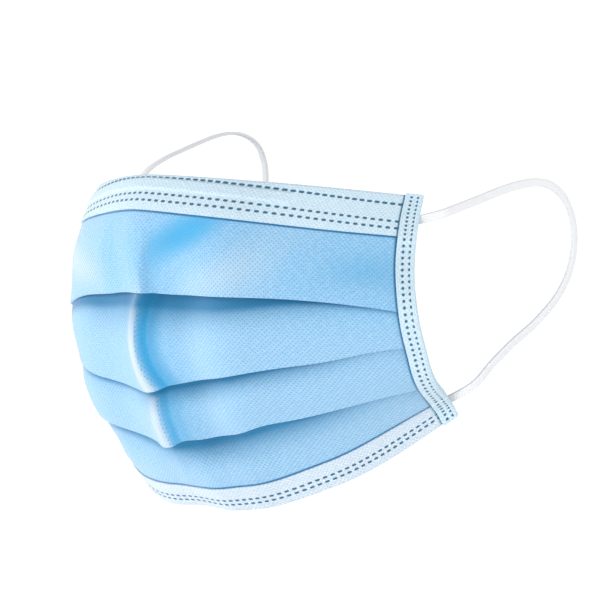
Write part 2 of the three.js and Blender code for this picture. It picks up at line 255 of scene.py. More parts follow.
def hollow_bell(across):
    """Bell curve of the hollow on both sides of the ridge."""
    away = np.abs(across) * HALF_WIDTH
    return HOLLOW_DEPTH * np.exp(-(((away - HOLLOW_FROM_RIDGE) / HOLLOW_HALF) ** 2))


def ridge_and_hollow(across, down):
    """Ridge on the nose line less the hollow beside it, by the row's share of relief."""
    ridge = RIDGE_RISE * np.exp(-((across * HALF_WIDTH / RIDGE_HALF) ** 2))
    relief = np.repeat(RELIEF[:, None], across.size, axis=1)
    return through(row_shares(across), relief, np.clip(down, 0, 1)) * (ridge - hollow_bell(across))


# Soft dents of the worn cloth: place across and down, half length, half width, turn in degrees and height.
DENTS = np.array([
    (20.0, 18.0, 19.0, 7.2, 28.0, -1.5),
    (36.0, 29.0, 20.0, 6.5, 22.0, 0.35),
    (76.0, 27.0, 24.0, 11.0, 4.0, -0.9),
    (-10.0, 25.0, 5.0, 13.0, 0.0, -0.6),
    (-34.0, 27.0, 18.0, 6.0, -20.0, 0.6),
    (70.0, 34.0, 10.0, 3.5, 8.0, 0.35),
    (-70.0, 34.0, 10.0, 3.5, -8.0, 0.35),
])
DENT_FADE = 8.0


def dent_bells(across, length):
    """The dents' sum of bell curves, each stretched along its own turned axis."""
    x = (across * HALF_WIDTH)[..., None] - DENTS[:, 0]
    y = length[..., None] - DENTS[:, 1]
    turn = np.radians(DENTS[:, 4])
    lengthwise = (x * np.cos(turn) - y * np.sin(turn)) / DENTS[:, 2]
    sideways = (x * np.sin(turn) + y * np.cos(turn)) / DENTS[:, 3]
    return (np.exp(-(lengthwise**2) - sideways**2) * DENTS[:, 5]).sum(axis=-1)


def soft_dents(across, length):
    """Height of the dents, which fade out towards the upper band."""
    return dent_bells(across, length) * smooth_share((length - TOP_BAND) / DENT_FADE)


# The cloth on the wearer's right stands fuller than the solids below the first fold, by its length. Its
# hollow beside the ridge is mostly filled, and the upper edge sags. The shares are shares across.
FULL_LENGTH = (0.0, 28.0, 36.0, 43.0, 58.0, 66.0, 78.0, 90.0, 107.0)
FULL_HEIGHT = (0.0, 0.0, 0.5, 1.5, 2.0, 3.4, 4.4, 3.8, 2.6)
FULL_FROM = 0.06
FULL_EASE = 0.32
FULL_SIDE_EASE = 0.35
HOLLOW_LEFT = 0.35
HOLLOW_EASE = 0.1
HOLLOW_FADE = 20.0
SAG = 2.2
SAG_PLACE = -0.5
SAG_HALF = 0.26
SAG_FROM = 10.0
SAG_FADE = 40.0

# The lowest panel stands out beside its middle, out to the reach, from this length on.
CHIN_RISE = 2.3
CHIN_HALF = 8.0
CHIN_REACH = 20.0
CHIN_EASE = 25.0
CHIN_FROM = 86.0
CHIN_FADE = 9.0

# How far the wearer's left side is drawn to the front and inward, by its length.
DRAWN_LENGTH = (0.0, 6.0, 15.0, 30.0, 45.0, 62.0, 74.0, 87.0)
DRAWN = (2.7, 1.9, 0.5, -0.3, 0.0, 0.7, 0.85, 1.4)
DRAWN_FROM = 0.5
DRAWN_DIAGONAL = 0.707


def fullness(across, length):
    """How far the cloth stands out on the wearer's right, eased in from the nose and out to the side."""
    window = smooth_share((-across - FULL_FROM) / FULL_EASE) * smooth_share((across + 1) / FULL_SIDE_EASE)
    return through_fixed(FULL_LENGTH, FULL_HEIGHT, length) * window


def chin_fullness(across, length):
    """How far the cloth stands out beside the lowest panel's middle, which rounds off the ridge there."""
    away = np.abs(across) * HALF_WIDTH
    rise = CHIN_RISE * (1 - np.exp(-((away / CHIN_HALF) ** 2)))
    near = 1 - smooth_share((away - CHIN_REACH) / CHIN_EASE)
    return rise * near * smooth_share((length - CHIN_FROM) / CHIN_FADE)


def drawn_in(across, length):
    """How far the cloth near the wearer's left side is drawn in, eased in from the cheek."""
    return through_fixed(DRAWN_LENGTH, DRAWN, length) * smooth_share((across - DRAWN_FROM) / (1 - DRAWN_FROM))


def sag(across, length):
    """How far the upper edge on the wearer's right hangs below the solids, a bell curve across."""
    bell = SAG * np.exp(-(((across - SAG_PLACE) / SAG_HALF) ** 2))
    return bell * (1 - smooth_share((length - SAG_FROM) / SAG_FADE))


def surface_points(across, length, height, dents=False):
    """The level surface at that length, moved along its normal by the height and the relief."""
    shape = np.broadcast_shapes(np.shape(across), np.shape(length), np.shape(height))
    across, length, height = (
        np.broadcast_to(array, shape).ravel().astype(float) for array in (across, length, height))
    down = look_up(TABLE_DOWNS, across, length / end_length(across))
    lift = height + ridge_and_hollow(across, down)
    if dents:
        filled = hollow_bell(across) * (1 - HOLLOW_LEFT) * smooth_share(-across / HOLLOW_EASE)
        lift = lift + filled * smooth_share((length - TOP_BAND) / HOLLOW_FADE)
        lift = lift + soft_dents(across, length) + fullness(across, length) + chin_fullness(across, length)
    points = level_points(across, down) + level_normals(across, down) * lift[:, None]
    if dents:
        points[:, 2] -= sag(across, length)
        points[:, :2] -= drawn_in(across, length)[:, None] * DRAWN_DIAGONAL
    return points.reshape(*shape, 3)


BRIDGE = surface_points(np.zeros(1), np.full(1, TOP_BAND / 2), BRIDGE_DEPTH)[0]


def cloth_points(across, length, height):
    """Points of the dented cloth in metres, seen from the origin on the bridge of the nose."""
    return (surface_points(across, length, height, dents=True) - BRIDGE) * MM


class MaskSizes(bpy.types.PropertyGroup):
    """Sizes of the mask's cloth and elastic."""

    cloth: bpy.props.FloatProperty(
        name="Cloth", description="Thickness of the pleated cloth", default=0.0004, unit="LENGTH")
    band: bpy.props.FloatProperty(
        name="Band", description="Thickness of the white bands and bindings", default=0.00035, unit="LENGTH")
    strip: bpy.props.FloatProperty(
        name="Nose strip", description="Thickness of the nose strip", default=0.0005, unit="LENGTH")
    loop_width: bpy.props.FloatProperty(
        name="Ear loop width", description="Width of the flat elastic", default=0.0026, unit="LENGTH")
    loop_thickness: bpy.props.FloatProperty(
        name="Ear loop thickness", description="Thickness of the flat elastic", default=0.0011, unit="LENGTH")
    weld_depth: bpy.props.FloatProperty(
        name="Weld depth", description="How far a weld mark is pressed in", default=0.0002, unit="LENGTH")


class MaskColours(bpy.types.PropertyGroup):
    """Colours of the mask."""

    blue: bpy.props.FloatVectorProperty(
        name="Outer cloth", description="Pleated cloth on the outside", subtype="COLOR", size=3,
        min=0, max=1, default=(0.23, 0.47, 0.69))
    white: bpy.props.FloatVectorProperty(
        name="White cloth", description="Bands, bindings and lining", subtype="COLOR", size=3,
        min=0, max=1, default=(0.60, 0.70, 0.77))
    weld: bpy.props.FloatVectorProperty(
        name="Weld marks", description="Melted cloth in the weld marks", subtype="COLOR", size=3,
        min=0, max=1, default=(0.03, 0.12, 0.20))
    elastic: bpy.props.FloatVectorProperty(
        name="Elastic", description="Ear loops", subtype="COLOR", size=3,
        min=0, max=1, default=(0.76, 0.76, 0.77))


def add(tree, kind, inputs=None, **settings):
    """Adds a node with its settings, and fills or links its inputs by name or place."""
    node = tree.nodes.new(kind)
    for name, value in settings.items():
        setattr(node, name, value)
    for key, value in (inputs or {}).items():
        if isinstance(value, bpy.types.NodeSocket):
            tree.links.new(value, node.inputs[key])
        else:
            node.inputs[key].default_value = value
    return node


def calc(tree, operation, *values):
    """Output of a Math node on these sockets or numbers."""
    return add(tree, "ShaderNodeMath", dict(enumerate(values)), operation=operation).outputs[0]


def spread(tree, value, low, high, to_low, to_high):
    """Output of a smooth Map Range node."""
    inputs = {"Value": value, "From Min": low, "From Max": high, "To Min": to_low, "To Max": to_high}
    return add(tree, "ShaderNodeMapRange", inputs, interpolation_type="SMOOTHSTEP").outputs["Result"]


def blend_colour(tree, share, first, second):
    """Colour between two colours or sockets. A Mix node's inputs 0, 6 and 7 are those for colours."""
    return add(tree, "ShaderNodeMix", {0: share, 6: first, 7: second}, data_type="RGBA").outputs[2]


def opaque(colour, shares=(1, 1, 1)):
    """The colour with each channel times its share, and fully opaque."""
    return tuple(channel * share for channel, share in zip(colour, shares)) + (1,)


def point_value(tree, name):
    """Output of a value stored on the mesh's points."""
    return add(tree, "ShaderNodeAttribute", attribute_name=name).outputs["Fac"]


def start_group(name, inputs, outputs):
    """A new shader group with these named inputs (name, kind, default) and float outputs."""
    tree = bpy.data.node_groups.new(name, "ShaderNodeTree")
    for label, kind, value in inputs:
        socket = tree.interface.new_socket(label, in_out="INPUT", socket_type=kind)
        if value is not None:
            socket.default_value = value
    for label in outputs:
        tree.interface.new_socket(label, in_out="OUTPUT", socket_type="NodeSocketFloat")
    return tree, tree.nodes.new("NodeGroupInput").outputs, tree.nodes.new("NodeGroupOutput").inputs


# A weld mark fades out between these distances from its middle line, in its widths. The pressed form fades
# out over a little more.
MARK_INNER = 0.32
MARK_OUTER = 0.62
MARK_PRESS_EASE = 0.4


def weld_row_group():
    """One row of weld marks: rounded dashes repeated at a pitch between a start and an end."""
    number = "NodeSocketFloat"
    tree, given, result = start_group("Weld row", [
        ("Vector", "NodeSocketVector", None), ("Row", number, 0.0), ("Start", number, 0.0),
        ("End", number, 1.0), ("Pitch", number, 1.0), ("Length", number, 1.0), ("Width", number, 0.5),
    ], ["Mask"])
    split = add(tree, "ShaderNodeSeparateXYZ", {0: given["Vector"]}).outputs
    place = calc(tree, "DIVIDE", calc(tree, "SUBTRACT", split["X"], given["Start"]), given["Pitch"])
    cell = calc(tree, "ABSOLUTE", calc(tree, "SUBTRACT", calc(tree, "FRACT", place), 0.5))
    straight = calc(tree, "MULTIPLY", calc(tree, "SUBTRACT", given["Length"], given["Width"]), 0.5)
    along = calc(tree, "SUBTRACT", calc(tree, "MULTIPLY", cell, given["Pitch"]), straight)
    beyond = calc(tree, "MAXIMUM", along, 0.0)
    beside = calc(tree, "SUBTRACT", split["Y"], given["Row"])
    squares = [calc(tree, "MULTIPLY", away, away) for away in (beyond, beside)]
    reach = calc(tree, "DIVIDE", calc(tree, "SQRT", calc(tree, "ADD", *squares)), given["Width"])
    mark = spread(tree, reach, MARK_INNER, MARK_OUTER, 1.0, 0.0)
    inside = calc(tree, "MULTIPLY", calc(tree, "GREATER_THAN", split["X"], given["Start"]),
                  calc(tree, "LESS_THAN", split["X"], given["End"]))
    tree.links.new(calc(tree, "MULTIPLY", mark, inside), result["Mask"])
    return tree


def embossed_points_group():
    """Pressed points of bonded cloth on a diagonal lattice: the distance to the nearest lattice point."""
    tree, given, result = start_group("Embossed points", [
        ("Vector", "NodeSocketVector", None), ("Spacing", "NodeSocketFloat", 1.4)], ["Mask"])
    split = add(tree, "ShaderNodeSeparateXYZ", {0: given["Vector"]}).outputs
    away = []
    for operation in ("ADD", "SUBTRACT"):
        diagonal = calc(tree, "DIVIDE", calc(tree, operation, split["X"], split["Y"]), given["Spacing"])
        cell = calc(tree, "SUBTRACT", calc(tree, "FRACT", diagonal), 0.5)
        away.append(calc(tree, "MULTIPLY", cell, cell))
    distance = calc(tree, "SQRT", calc(tree, "ADD", *away))
    tree.links.new(spread(tree, distance, 0.16, 0.34, 1.0, 0.0), result["Mask"])
    return tree


def fibres_group():
    """Loose fibres of bonded cloth: the middle of two noises stretched across each other."""
    tree, given, result = start_group("Fibres", [("Vector", "NodeSocketVector", None)], ["Fibre"])
    noises = []
    for turn, scale in ((0.5, (0.5, 3.0, 1.0)), (-0.4, (0.6, 2.6, 1.0))):
        inputs = {"Vector": given["Vector"], "Rotation": (0, 0, turn), "Scale": scale}
        stretched = add(tree, "ShaderNodeMapping", inputs).outputs[0]
        inputs = {"Vector": stretched, "Scale": 1.0, "Detail": 3.0, "Roughness": 0.6}
        noises.append(add(tree, "ShaderNodeTexNoise", inputs).outputs["Fac"])
    tree.links.new(calc(tree, "MULTIPLY", calc(tree, "ADD", *noises), 0.5), result["Fibre"])
    return tree


def start_material(name, roughness, sheen=0.0):
    """A material with a plain Principled shader, its constants on the shader's own sockets."""
    material = bpy.data.materials.new(name)
    material.use_nodes = True
    tree = material.node_tree
    shader = tree.nodes["Principled BSDF"]
    shader.inputs["Roughness"].default_value = roughness
    shader.inputs["Sheen Weight"].default_value = sheen
    shader.inputs["Sheen Roughness"].default_value = 0.5
    shader.inputs["Specular IOR Level"].default_value = 0.3
    return material, tree, shader


def use_group(tree, group, inputs):
    """Outputs of a shader group placed with these inputs."""
    return add(tree, "ShaderNodeGroup", inputs, node_tree=group).outputs


def cloth_material(name, colour, groups, welds=(), weld_colour=(0, 0, 0), shade_colour=None,
                   point_depth=0.35, fold_shade_colour=None, hollow_shade_colour=None, ridge_highlight_colour=None, sheen=0.25):
    """Bonded cloth: a base colour clouded by fibres, pressed points and, where there are any, weld marks.

    Its hollows take a painted shade and its crests a painted highlight by the relief on its points, and
    painted shade darkens it by the points' depth under a fold and along its seams.
    """
    material, tree, shader = start_material(name, 0.78, sheen=sheen)
    cloth = add(tree, "ShaderNodeUVMap", uv_map="Cloth").outputs[0]
    fibres = use_group(tree, groups["fibres"], {"Vector": cloth})["Fibre"]
    points = use_group(tree, groups["points"], {"Vector": cloth, "Spacing": 1.42})["Mask"]
    pale = opaque([mix(channel, 1.0, 0.12) for channel in colour])
    deep = opaque(colour, (0.80, 0.93, 0.97))
    pressed = opaque(colour, (0.45, 0.72, 0.88))
    base = blend_colour(tree, spread(tree, fibres, 0.38, 0.62, 0.0, 1.0), deep, pale)
    points_seen = points
    if hollow_shade_colour is not None:
        # Painted shade in the hollows and a painted highlight on the crests, by the relief, with fewer
        # pressed points seen on the crests.
        relief = point_value(tree, "relief")
        base = blend_colour(tree, spread(tree, relief, 0.0, 0.5, 1.0, 0.0), base, opaque(hollow_shade_colour))
        base = blend_colour(tree, spread(tree, relief, 0.5, 1.0, 0.0, 1.0), base, opaque(ridge_highlight_colour))
        points_seen = calc(tree, "MULTIPLY", points, spread(tree, relief, 0.68, 0.95, 1.0, 0.35))
    base = blend_colour(tree, calc(tree, "MULTIPLY", points_seen, point_depth), base, pressed)
    # Painted shade in the folds, by the points' depth under a fold.
    if fold_shade_colour is not None:
        base = blend_colour(tree, point_value(tree, "painted_fold_shade"), base, opaque(fold_shade_colour))
    # Painted shade along the seams.
    if shade_colour is not None:
        base = blend_colour(tree, point_value(tree, "seam_shade"), base, opaque(shade_colour))
    height = calc(tree, "SUBTRACT", calc(tree, "MULTIPLY", fibres, 0.5), points)
    if welds:
        seam = add(tree, "ShaderNodeUVMap", uv_map="Seam").outputs[0]
        rows = [use_group(tree, groups["weld"], {"Vector": seam, **weld})["Mask"] for weld in welds]
        mask = rows[0]
        for row in rows[1:]:
            mask = calc(tree, "MAXIMUM", mask, row)
        base = blend_colour(tree, mask, base, opaque(weld_colour))
        tree.links.new(spread(tree, mask, 0.0, 1.0, 0.78, 0.42), shader.inputs["Roughness"])
        height = calc(tree, "SUBTRACT", height, mask)
    tree.links.new(base, shader.inputs["Base Color"])
    bump = add(tree, "ShaderNodeBump", {"Height": height, "Distance": 0.00006, "Strength": 0.8})
    tree.links.new(bump.outputs["Normal"], shader.inputs["Normal"])
    return material


def weld_marks(along, beside, rows):
    """The same weld marks on the mesh, as 0 to 1, for pressing them into the cloth."""
    total = np.zeros_like(along)
    for row in rows:
        cell = np.abs(((along - row["Start"]) / row["Pitch"]) % 1.0 - 0.5) * row["Pitch"]
        beyond = np.maximum(cell - (row["Length"] - row["Width"]) / 2, 0)
        reach = np.hypot(beyond, beside - row["Row"]) / row["Width"]
        mark = 1 - smooth_share((reach - MARK_INNER) / MARK_PRESS_EASE)
        total = np.maximum(total, mark * (along > row["Start"]) * (along < row["End"]))
    return total


def make_piece(name, points, faces, replaced, materials, uvs=None, shades=None, face_slots=None,
               sharp=50):
    """A mesh object at the origin, riding on the root body in place of its node.

    faces is a list, because it may hold both quads and triangles. uvs and shades are values on the points.
    """
    mesh = bpy.data.meshes.new(name)
    mesh.from_pydata(points.tolist(), [], faces)
    mesh.polygons.foreach_set("use_smooth", np.ones(len(faces), bool))
    for material in materials:
        mesh.materials.append(material)
    if face_slots is not None:
        mesh.polygons.foreach_set("material_index", face_slots)
    corners = np.empty(len(mesh.loops), int)
    mesh.loops.foreach_get("vertex_index", corners)
    for label, values in (uvs or {}).items():
        layer = mesh.uv_layers.new(name=label)
        layer.uv.foreach_set("vector", values[corners].ravel())
    for label, values in (shades or {}).items():
        attribute = mesh.attributes.new(label, "FLOAT", "POINT")
        attribute.data.foreach_set("value", values)
    mesh.update()
    mesh.set_sharp_from_angle(angle=np.radians(sharp))
    piece = bpy.data.objects.new(name, mesh)
    bpy.context.scene.collection.objects.link(piece)
    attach(piece, "root")
    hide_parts(replaced)
    return piece


def grid_faces(rows, columns):
    """Quads of a grid of points counted row by row."""
    corner = np.arange(rows * columns).reshape(rows, columns)
    quads = [corner[:-1, :-1], corner[:-1, 1:], corner[1:, 1:], corner[1:, :-1]]
    return np.stack(quads, axis=-1).reshape(-1, 4)


def shell_faces(rows, columns):
    """Quads of two grids back to back with their rims joined. The first grid's faces come first."""
    outer = grid_faces(rows, columns)
    back = rows * columns
    inner = outer[:, ::-1] + back
    corner = np.arange(back).reshape(rows, columns)
    sides = [corner[0, ::-1], corner[1:, 0], corner[-1, 1:], corner[-2:0:-1, -1], corner[0, -1:]]
    rim = np.concatenate(sides)
    rim_quads = np.stack([rim[:-1], rim[1:], rim[1:] + back, rim[:-1] + back], axis=-1)
    return outer, inner, rim_quads


def volume(points, faces):
    """Signed volume under quads split into triangles, positive where they point outwards."""
    corner = points[faces]
    first = np.einsum("ij,ij->i", corner[:, 0], np.cross(corner[:, 1], corner[:, 2])).sum()
    second = np.einsum("ij,ij->i", corner[:, 0], np.cross(corner[:, 2], corner[:, 3])).sum()
    return (first + second) / 6


def offset_profile(length, height, thickness):
    """Both faces of a sheet whose middle runs down the rows: half the thickness square to the middle."""
    run = np.gradient(length, axis=0)
    rise = np.gradient(height, axis=0)
    size = np.maximum(np.hypot(run, rise), 1e-9)
    side = thickness / 2
    over = (length - rise / size * side, height + run / size * side)
    under = (length + rise / size * side, height - run / size * side)
    return over, under


def cloth_sheet(name, place, length, height, thickness, replaced, materials, uvs, shades=None,
                press=0.0):
    """A closed sheet over the cloth surface from its middle as grids of length and height.

    place turns lengths and heights into points. press is how far the outer face is pushed in.
    """
    over, under = offset_profile(length, height, thickness)
    outer = place(over[0], over[1] - press)
    inner = place(*under)
    rows, columns = length.shape
    points = np.concatenate([outer.reshape(-1, 3), inner.reshape(-1, 3)])
    outer_faces, inner_faces, rim_faces = shell_faces(rows, columns)
    faces = np.concatenate([outer_faces, inner_faces, rim_faces])
    if volume(points, faces) < 0:
        faces = faces[:, ::-1]
    slots = np.zeros(len(faces), np.int32)
    slots[len(outer_faces):] = len(materials) - 1
    doubled = {label: np.concatenate([uv.reshape(-1, 2)] * 2) for label, uv in uvs.items()}
    shades = {label: np.concatenate([shade.ravel()] * 2) for label, shade in (shades or {}).items()}
    return make_piece(name, points, faces.tolist(), replaced, materials, doubled, shades, slots)


def rows_between(start, stop, shares):
    """Rows of values from start to stop at these shares, for every column."""
    return start[None] + (stop - start)[None] * np.asarray(shares)[:, None]


def inner_shares(count):
    """Even shares between 0 and 1, without the two ends."""
    return np.linspace(0, 1, count + 2)[1:-1]


def half_turn(length, start, stop, side, count):
    """Lengths and heights of a half circle from start to stop, bulging down the cloth if side is 1."""
    angle = np.linspace(np.pi / 2, -np.pi / 2, count)[:, None]
    radius = np.abs(start - stop)[None] / 2
    way = np.sign(start - stop)[None]
    lengths = length[None] + side * radius * np.cos(angle)
    return lengths, (start + stop)[None] / 2 + way * radius * np.sin(angle)


# How far each fold of the worn cloth lies below the solids' fold, by its share across.
SHIFT_ACROSS = (-1.0, -0.5, -0.3, -0.15, -0.07, 0.0, 0.15, 0.28, 0.4, 0.5, 0.65, 0.85, 1.0)
FOLD_SHIFT = (
    (0.0, 3.0, 0.3, 0.0, -0.5, -0.7, -0.6, -1.3, -2.0, -2.5, -2.7, -2.2, -1.4),
    (0.0, -1.2, 0.4, 1.4, 1.5, 0.6, -0.1, -1.1, -2.0, -2.3, -1.9, -2.4, -1.7),
    (0.0, -3.6, -1.4, 0.3, 0.0, -1.1, 0.3, -0.5, -2.4, -2.2, -2.0, -1.7, -1.2),
)

# Depth of the step under a fold by its share of the way from the nose to the side. On the wearer's right each
# fold's step is cut by two shares, the first near the nose line and the second further out.
RECESS_ALONG = (0.0, 0.12, 0.35, 0.6, 0.85, 1.0)
RECESS = (3.2, 4.0, 4.0, 2.7, 1.3, 0.95)
RECESS_LEAST = 0.95
RECESS_CUT = ((0.35, 0.75), (0.65, 0.65), (0.6, 0.6))
RECESS_CUT_EASE = 0.12
RECESS_CUT_FROM = 0.2

# How much wider the bands are than the solids', and how far the upper band's welds lie lower at the sides.
BAND_DRIFT = 2.1
HEM_WIDTH = BOTTOM_BAND + 2.1
WELD_DRIFT = 2.8
WELD_DRIFT_RIGHT = 1.3

# Shade on the cloth below each fold, and its share on the wearer's left.
LIP_SHADE = 2.4
LIP_SHADE_WIDTH = (6.5, 3.2, 5.0)
LIP_SHADE_LEFT = 0.45

# Heights of the front and of the layer behind it, the greatest depth of the hidden turn, and the lengths kept
# to a fold, to the lower band and to the cloth's own edges.
FRONT_HEIGHT = 0.3
LAYER_STEP = 0.6
HIDDEN_DEPTH = 1.3
HIDDEN_START = 1.5
LEVEL_BEFORE_FOLD = 1.5
LEVEL_BEFORE_HEM = 1.2
EDGE_START = 1.2

# Rows of the cloth beside the bands' edges, and how many it has below each fold.
BAND_ROWS = np.array([-1.0, -0.5, 0.05, 0.45, 0.75])
HEM_ROWS = np.array([-0.75, -0.45, -0.05, 0.5])
PANEL_ROWS = (30, 24, 18)
PANEL_ROWS_POWER = 1.15

# Sharp crease of each panel on the nose line: its strength, how far it stands from the middle at the panel's
# upper and lower end, and how far it bows back between them.
CREASE = ((0.5, 7.5, 3.2, 1.8), (1.0, 3.2, 4.0, 4.2), (0.8, 2.2, 2.6, 0.0), (0.0, 2.6, 2.6, 0.0))
CREASE_RISE = 1.9
CREASE_HALF_LEFT = 1.6
CREASE_HALF_RIGHT = 4.2
DIP_DEPTH = 1.3
DIP_AWAY = 3.0
DIP_HALF_NEAR = 2.0
DIP_HALF_FAR = 6.5


def crease_height(across, centre):
    """A bell curve on the crease, steeper on the wearer's left, less a second one beside it on that side."""
    away = across * HALF_WIDTH - centre
    half = np.where(away > 0, CREASE_HALF_LEFT, CREASE_HALF_RIGHT)
    rise = CREASE_RISE * np.exp(-((away / half) ** 2))
    wide = np.where(away > DIP_AWAY, DIP_HALF_FAR, DIP_HALF_NEAR)
    return rise - DIP_DEPTH * np.exp(-(((away - DIP_AWAY) / wide) ** 2))


def top_band_end(across):
    """Length at which the upper band ends on the outside: it widens towards the side."""
    return TOP_BAND + BAND_DRIFT * smooth_share(np.abs(across) / 0.8)


def weld_drift(across):
    """How far the upper band's weld rows and strip lie further down, more on the wearer's right."""
    both = WELD_DRIFT * smooth_share(np.abs(across))
    return both + WELD_DRIFT_RIGHT * smooth_share((-across - 0.1) / 0.35)


def panel_profile(across):
    """Middle of the pleated cloth: down to each fold, back up under it by the lap, and out again.

    Below a fold the cloth lies at minus the recess and comes back level as the square of the share left. The
    crease is added by each row's strength. The third result is how deep a row lies behind the front plus the
    shade below each fold, which sets the painted shade in the folds, and the fourth the height of the crease.
    """
    ones = np.ones_like(across)
    shifts = [through_fixed(SHIFT_ACROSS, shift, across) for shift in FOLD_SHIFT]
    folds = [fold + shift for fold, shift in zip(fold_lengths(across), shifts)]
    band = top_band_end(across)
    end = end_length(across)
    hem = end - HEM_WIDTH
    lap = mix(NOSE_LAP, SIDE_LAP, smooth_share(np.abs(across)))
    widest = through_fixed(RECESS_ALONG, RECESS, np.abs(across))
    cut = smooth_share(-across / RECESS_CUT_EASE)
    cut_out = smooth_share((-across - RECESS_CUT_FROM) / 0.2)
    fade = mix(1.0, LIP_SHADE_LEFT, smooth_share((across - 0.3) / 0.4))
    levels = [fold - lap - LEVEL_BEFORE_FOLD for fold in folds[1:]] + [hem - LEVEL_BEFORE_HEM]
    starts = [band, *(fold - HIDDEN_START for fold in folds)]
    stops = [*folds, hem]
    front = FRONT_HEIGHT * ones
    back = front - LAYER_STEP
    parts = []

    def put(length, height, panel, first=None, last=None):
        """Adds rows on a panel's crease, with its strength running from first to last."""
        strength, upper, lower, bow = CREASE[panel]
        share = np.clip((length - starts[panel]) / (stops[panel] - starts[panel]), 0, 1)
        first = strength if first is None else first
        last = strength if last is None else last
        strengths = mix(first, last, np.linspace(0, 1, length.shape[0])[:, None])
        centre = mix(upper, lower, share) - bow * 4 * share * (1 - share)
        bump = crease_height(across[None], centre) * strengths
        parts.append((length, height + bump, np.broadcast_to(FRONT_HEIGHT - height, length.shape), bump))

    def put_flat(length):
        """Adds rows at the front without a crease."""
        none = np.zeros_like(length)
        parts.append((length, none + FRONT_HEIGHT, none, none))

    put_flat(rows_between(EDGE_START * ones, band + BAND_ROWS[0], np.linspace(0, 1, 4)))
    put_flat(band + BAND_ROWS[1:, None])
    first = rows_between(band + BAND_ROWS[-1], folds[0], inner_shares(36))
    put(first, np.full_like(first, FRONT_HEIGHT), 0, 0.0)
    for panel, (fold, level, count) in enumerate(zip(folds, levels, PANEL_ROWS)):
        recess = widest * (1 - mix(*RECESS_CUT[panel], cut_out) * cut)
        recess = np.maximum(recess, RECESS_LEAST)
        inner = -np.minimum(recess, HIDDEN_DEPTH)
        put(*half_turn(fold, front, back, 1, 9), panel)
        under = rows_between(fold, fold - lap, inner_shares(4))
        put(under, np.full_like(under, FRONT_HEIGHT - LAYER_STEP), panel)
        put(*half_turn(fold - lap, back, inner, -1, 7), panel)
        hidden = fold - HIDDEN_START
        shares = inner_shares(3)
        heights = rows_between(inner, -recess, smooth_share(shares))
        put(rows_between(fold - lap, hidden, shares), heights, panel, None, CREASE[panel + 1][0])
        shares = np.linspace(0, 1, count) ** PANEL_ROWS_POWER
        heights = FRONT_HEIGHT - (recess + FRONT_HEIGHT) * (1 - shares[:, None]) ** 2
        below = rows_between(hidden, level, shares)
        put(below, heights, panel + 1)
        near = 1 - smooth_share((below - fold) / (LIP_SHADE_WIDTH[panel] * fade))
        parts[-1] = (*parts[-1][:2], parts[-1][2] + LIP_SHADE * near * fade, parts[-1][3])
        if panel < 2:
            last = rows_between(level, folds[panel + 1], inner_shares(7))
            put(last, np.full_like(last, FRONT_HEIGHT), panel + 1)
    put_flat(hem + HEM_ROWS[:, None])
    put_flat(rows_between(hem + HEM_ROWS[-1], end - EDGE_START, np.linspace(0, 1, 5)[1:]))
    return tuple(np.concatenate(column) for column in zip(*parts))


def running_length(length, height):
    """Distance run along each column of a profile."""
    step = np.hypot(np.diff(length, axis=0), np.diff(height, axis=0))
    return np.vstack([np.zeros((1, length.shape[1])), np.cumsum(step, axis=0)]) + length[:1]


def line_mask(value, line, half):
    """1 on a line and 0 further than the half width from it."""
    return 1 - smooth_share((np.abs(value - line) - half * 0.6) / (half * 0.8))


def facing(place, target):
    """Turn of a camera or light at a place that looks at the target."""
    return (target - place).to_track_quat("-Z", "Y")


# The photograph's camera, fitted to the mask, and the floor well below it. The floor is in metres.
CAMERA_PLACE = (467.8, -423.9, 5.7)
CAMERA_TARGET = (40.95, 24.2, -30.6)
CAMERA_ROLL = 0.010
CAMERA_LENS = 125.25
FLOOR_SIDES = 96
FLOOR_HALF = 0.9
FLOOR_MIDDLE = (0, 0.05, -0.36)
WHITE_SEEN = 0.64
WHITE_LIGHT = 0.48
LIGHTS = (
    ("nose light", (-0.74, -0.48, 0.12), 0.35, 5.6),
    ("cheek light", (0.80, 0.22, 0.24), 0.6, 3.6),
    ("top light", (0.22, -0.32, 0.85), 0.35, 1.0),
    ("low light", (0.20, -0.55, -0.30), 0.35, 3.4),
)


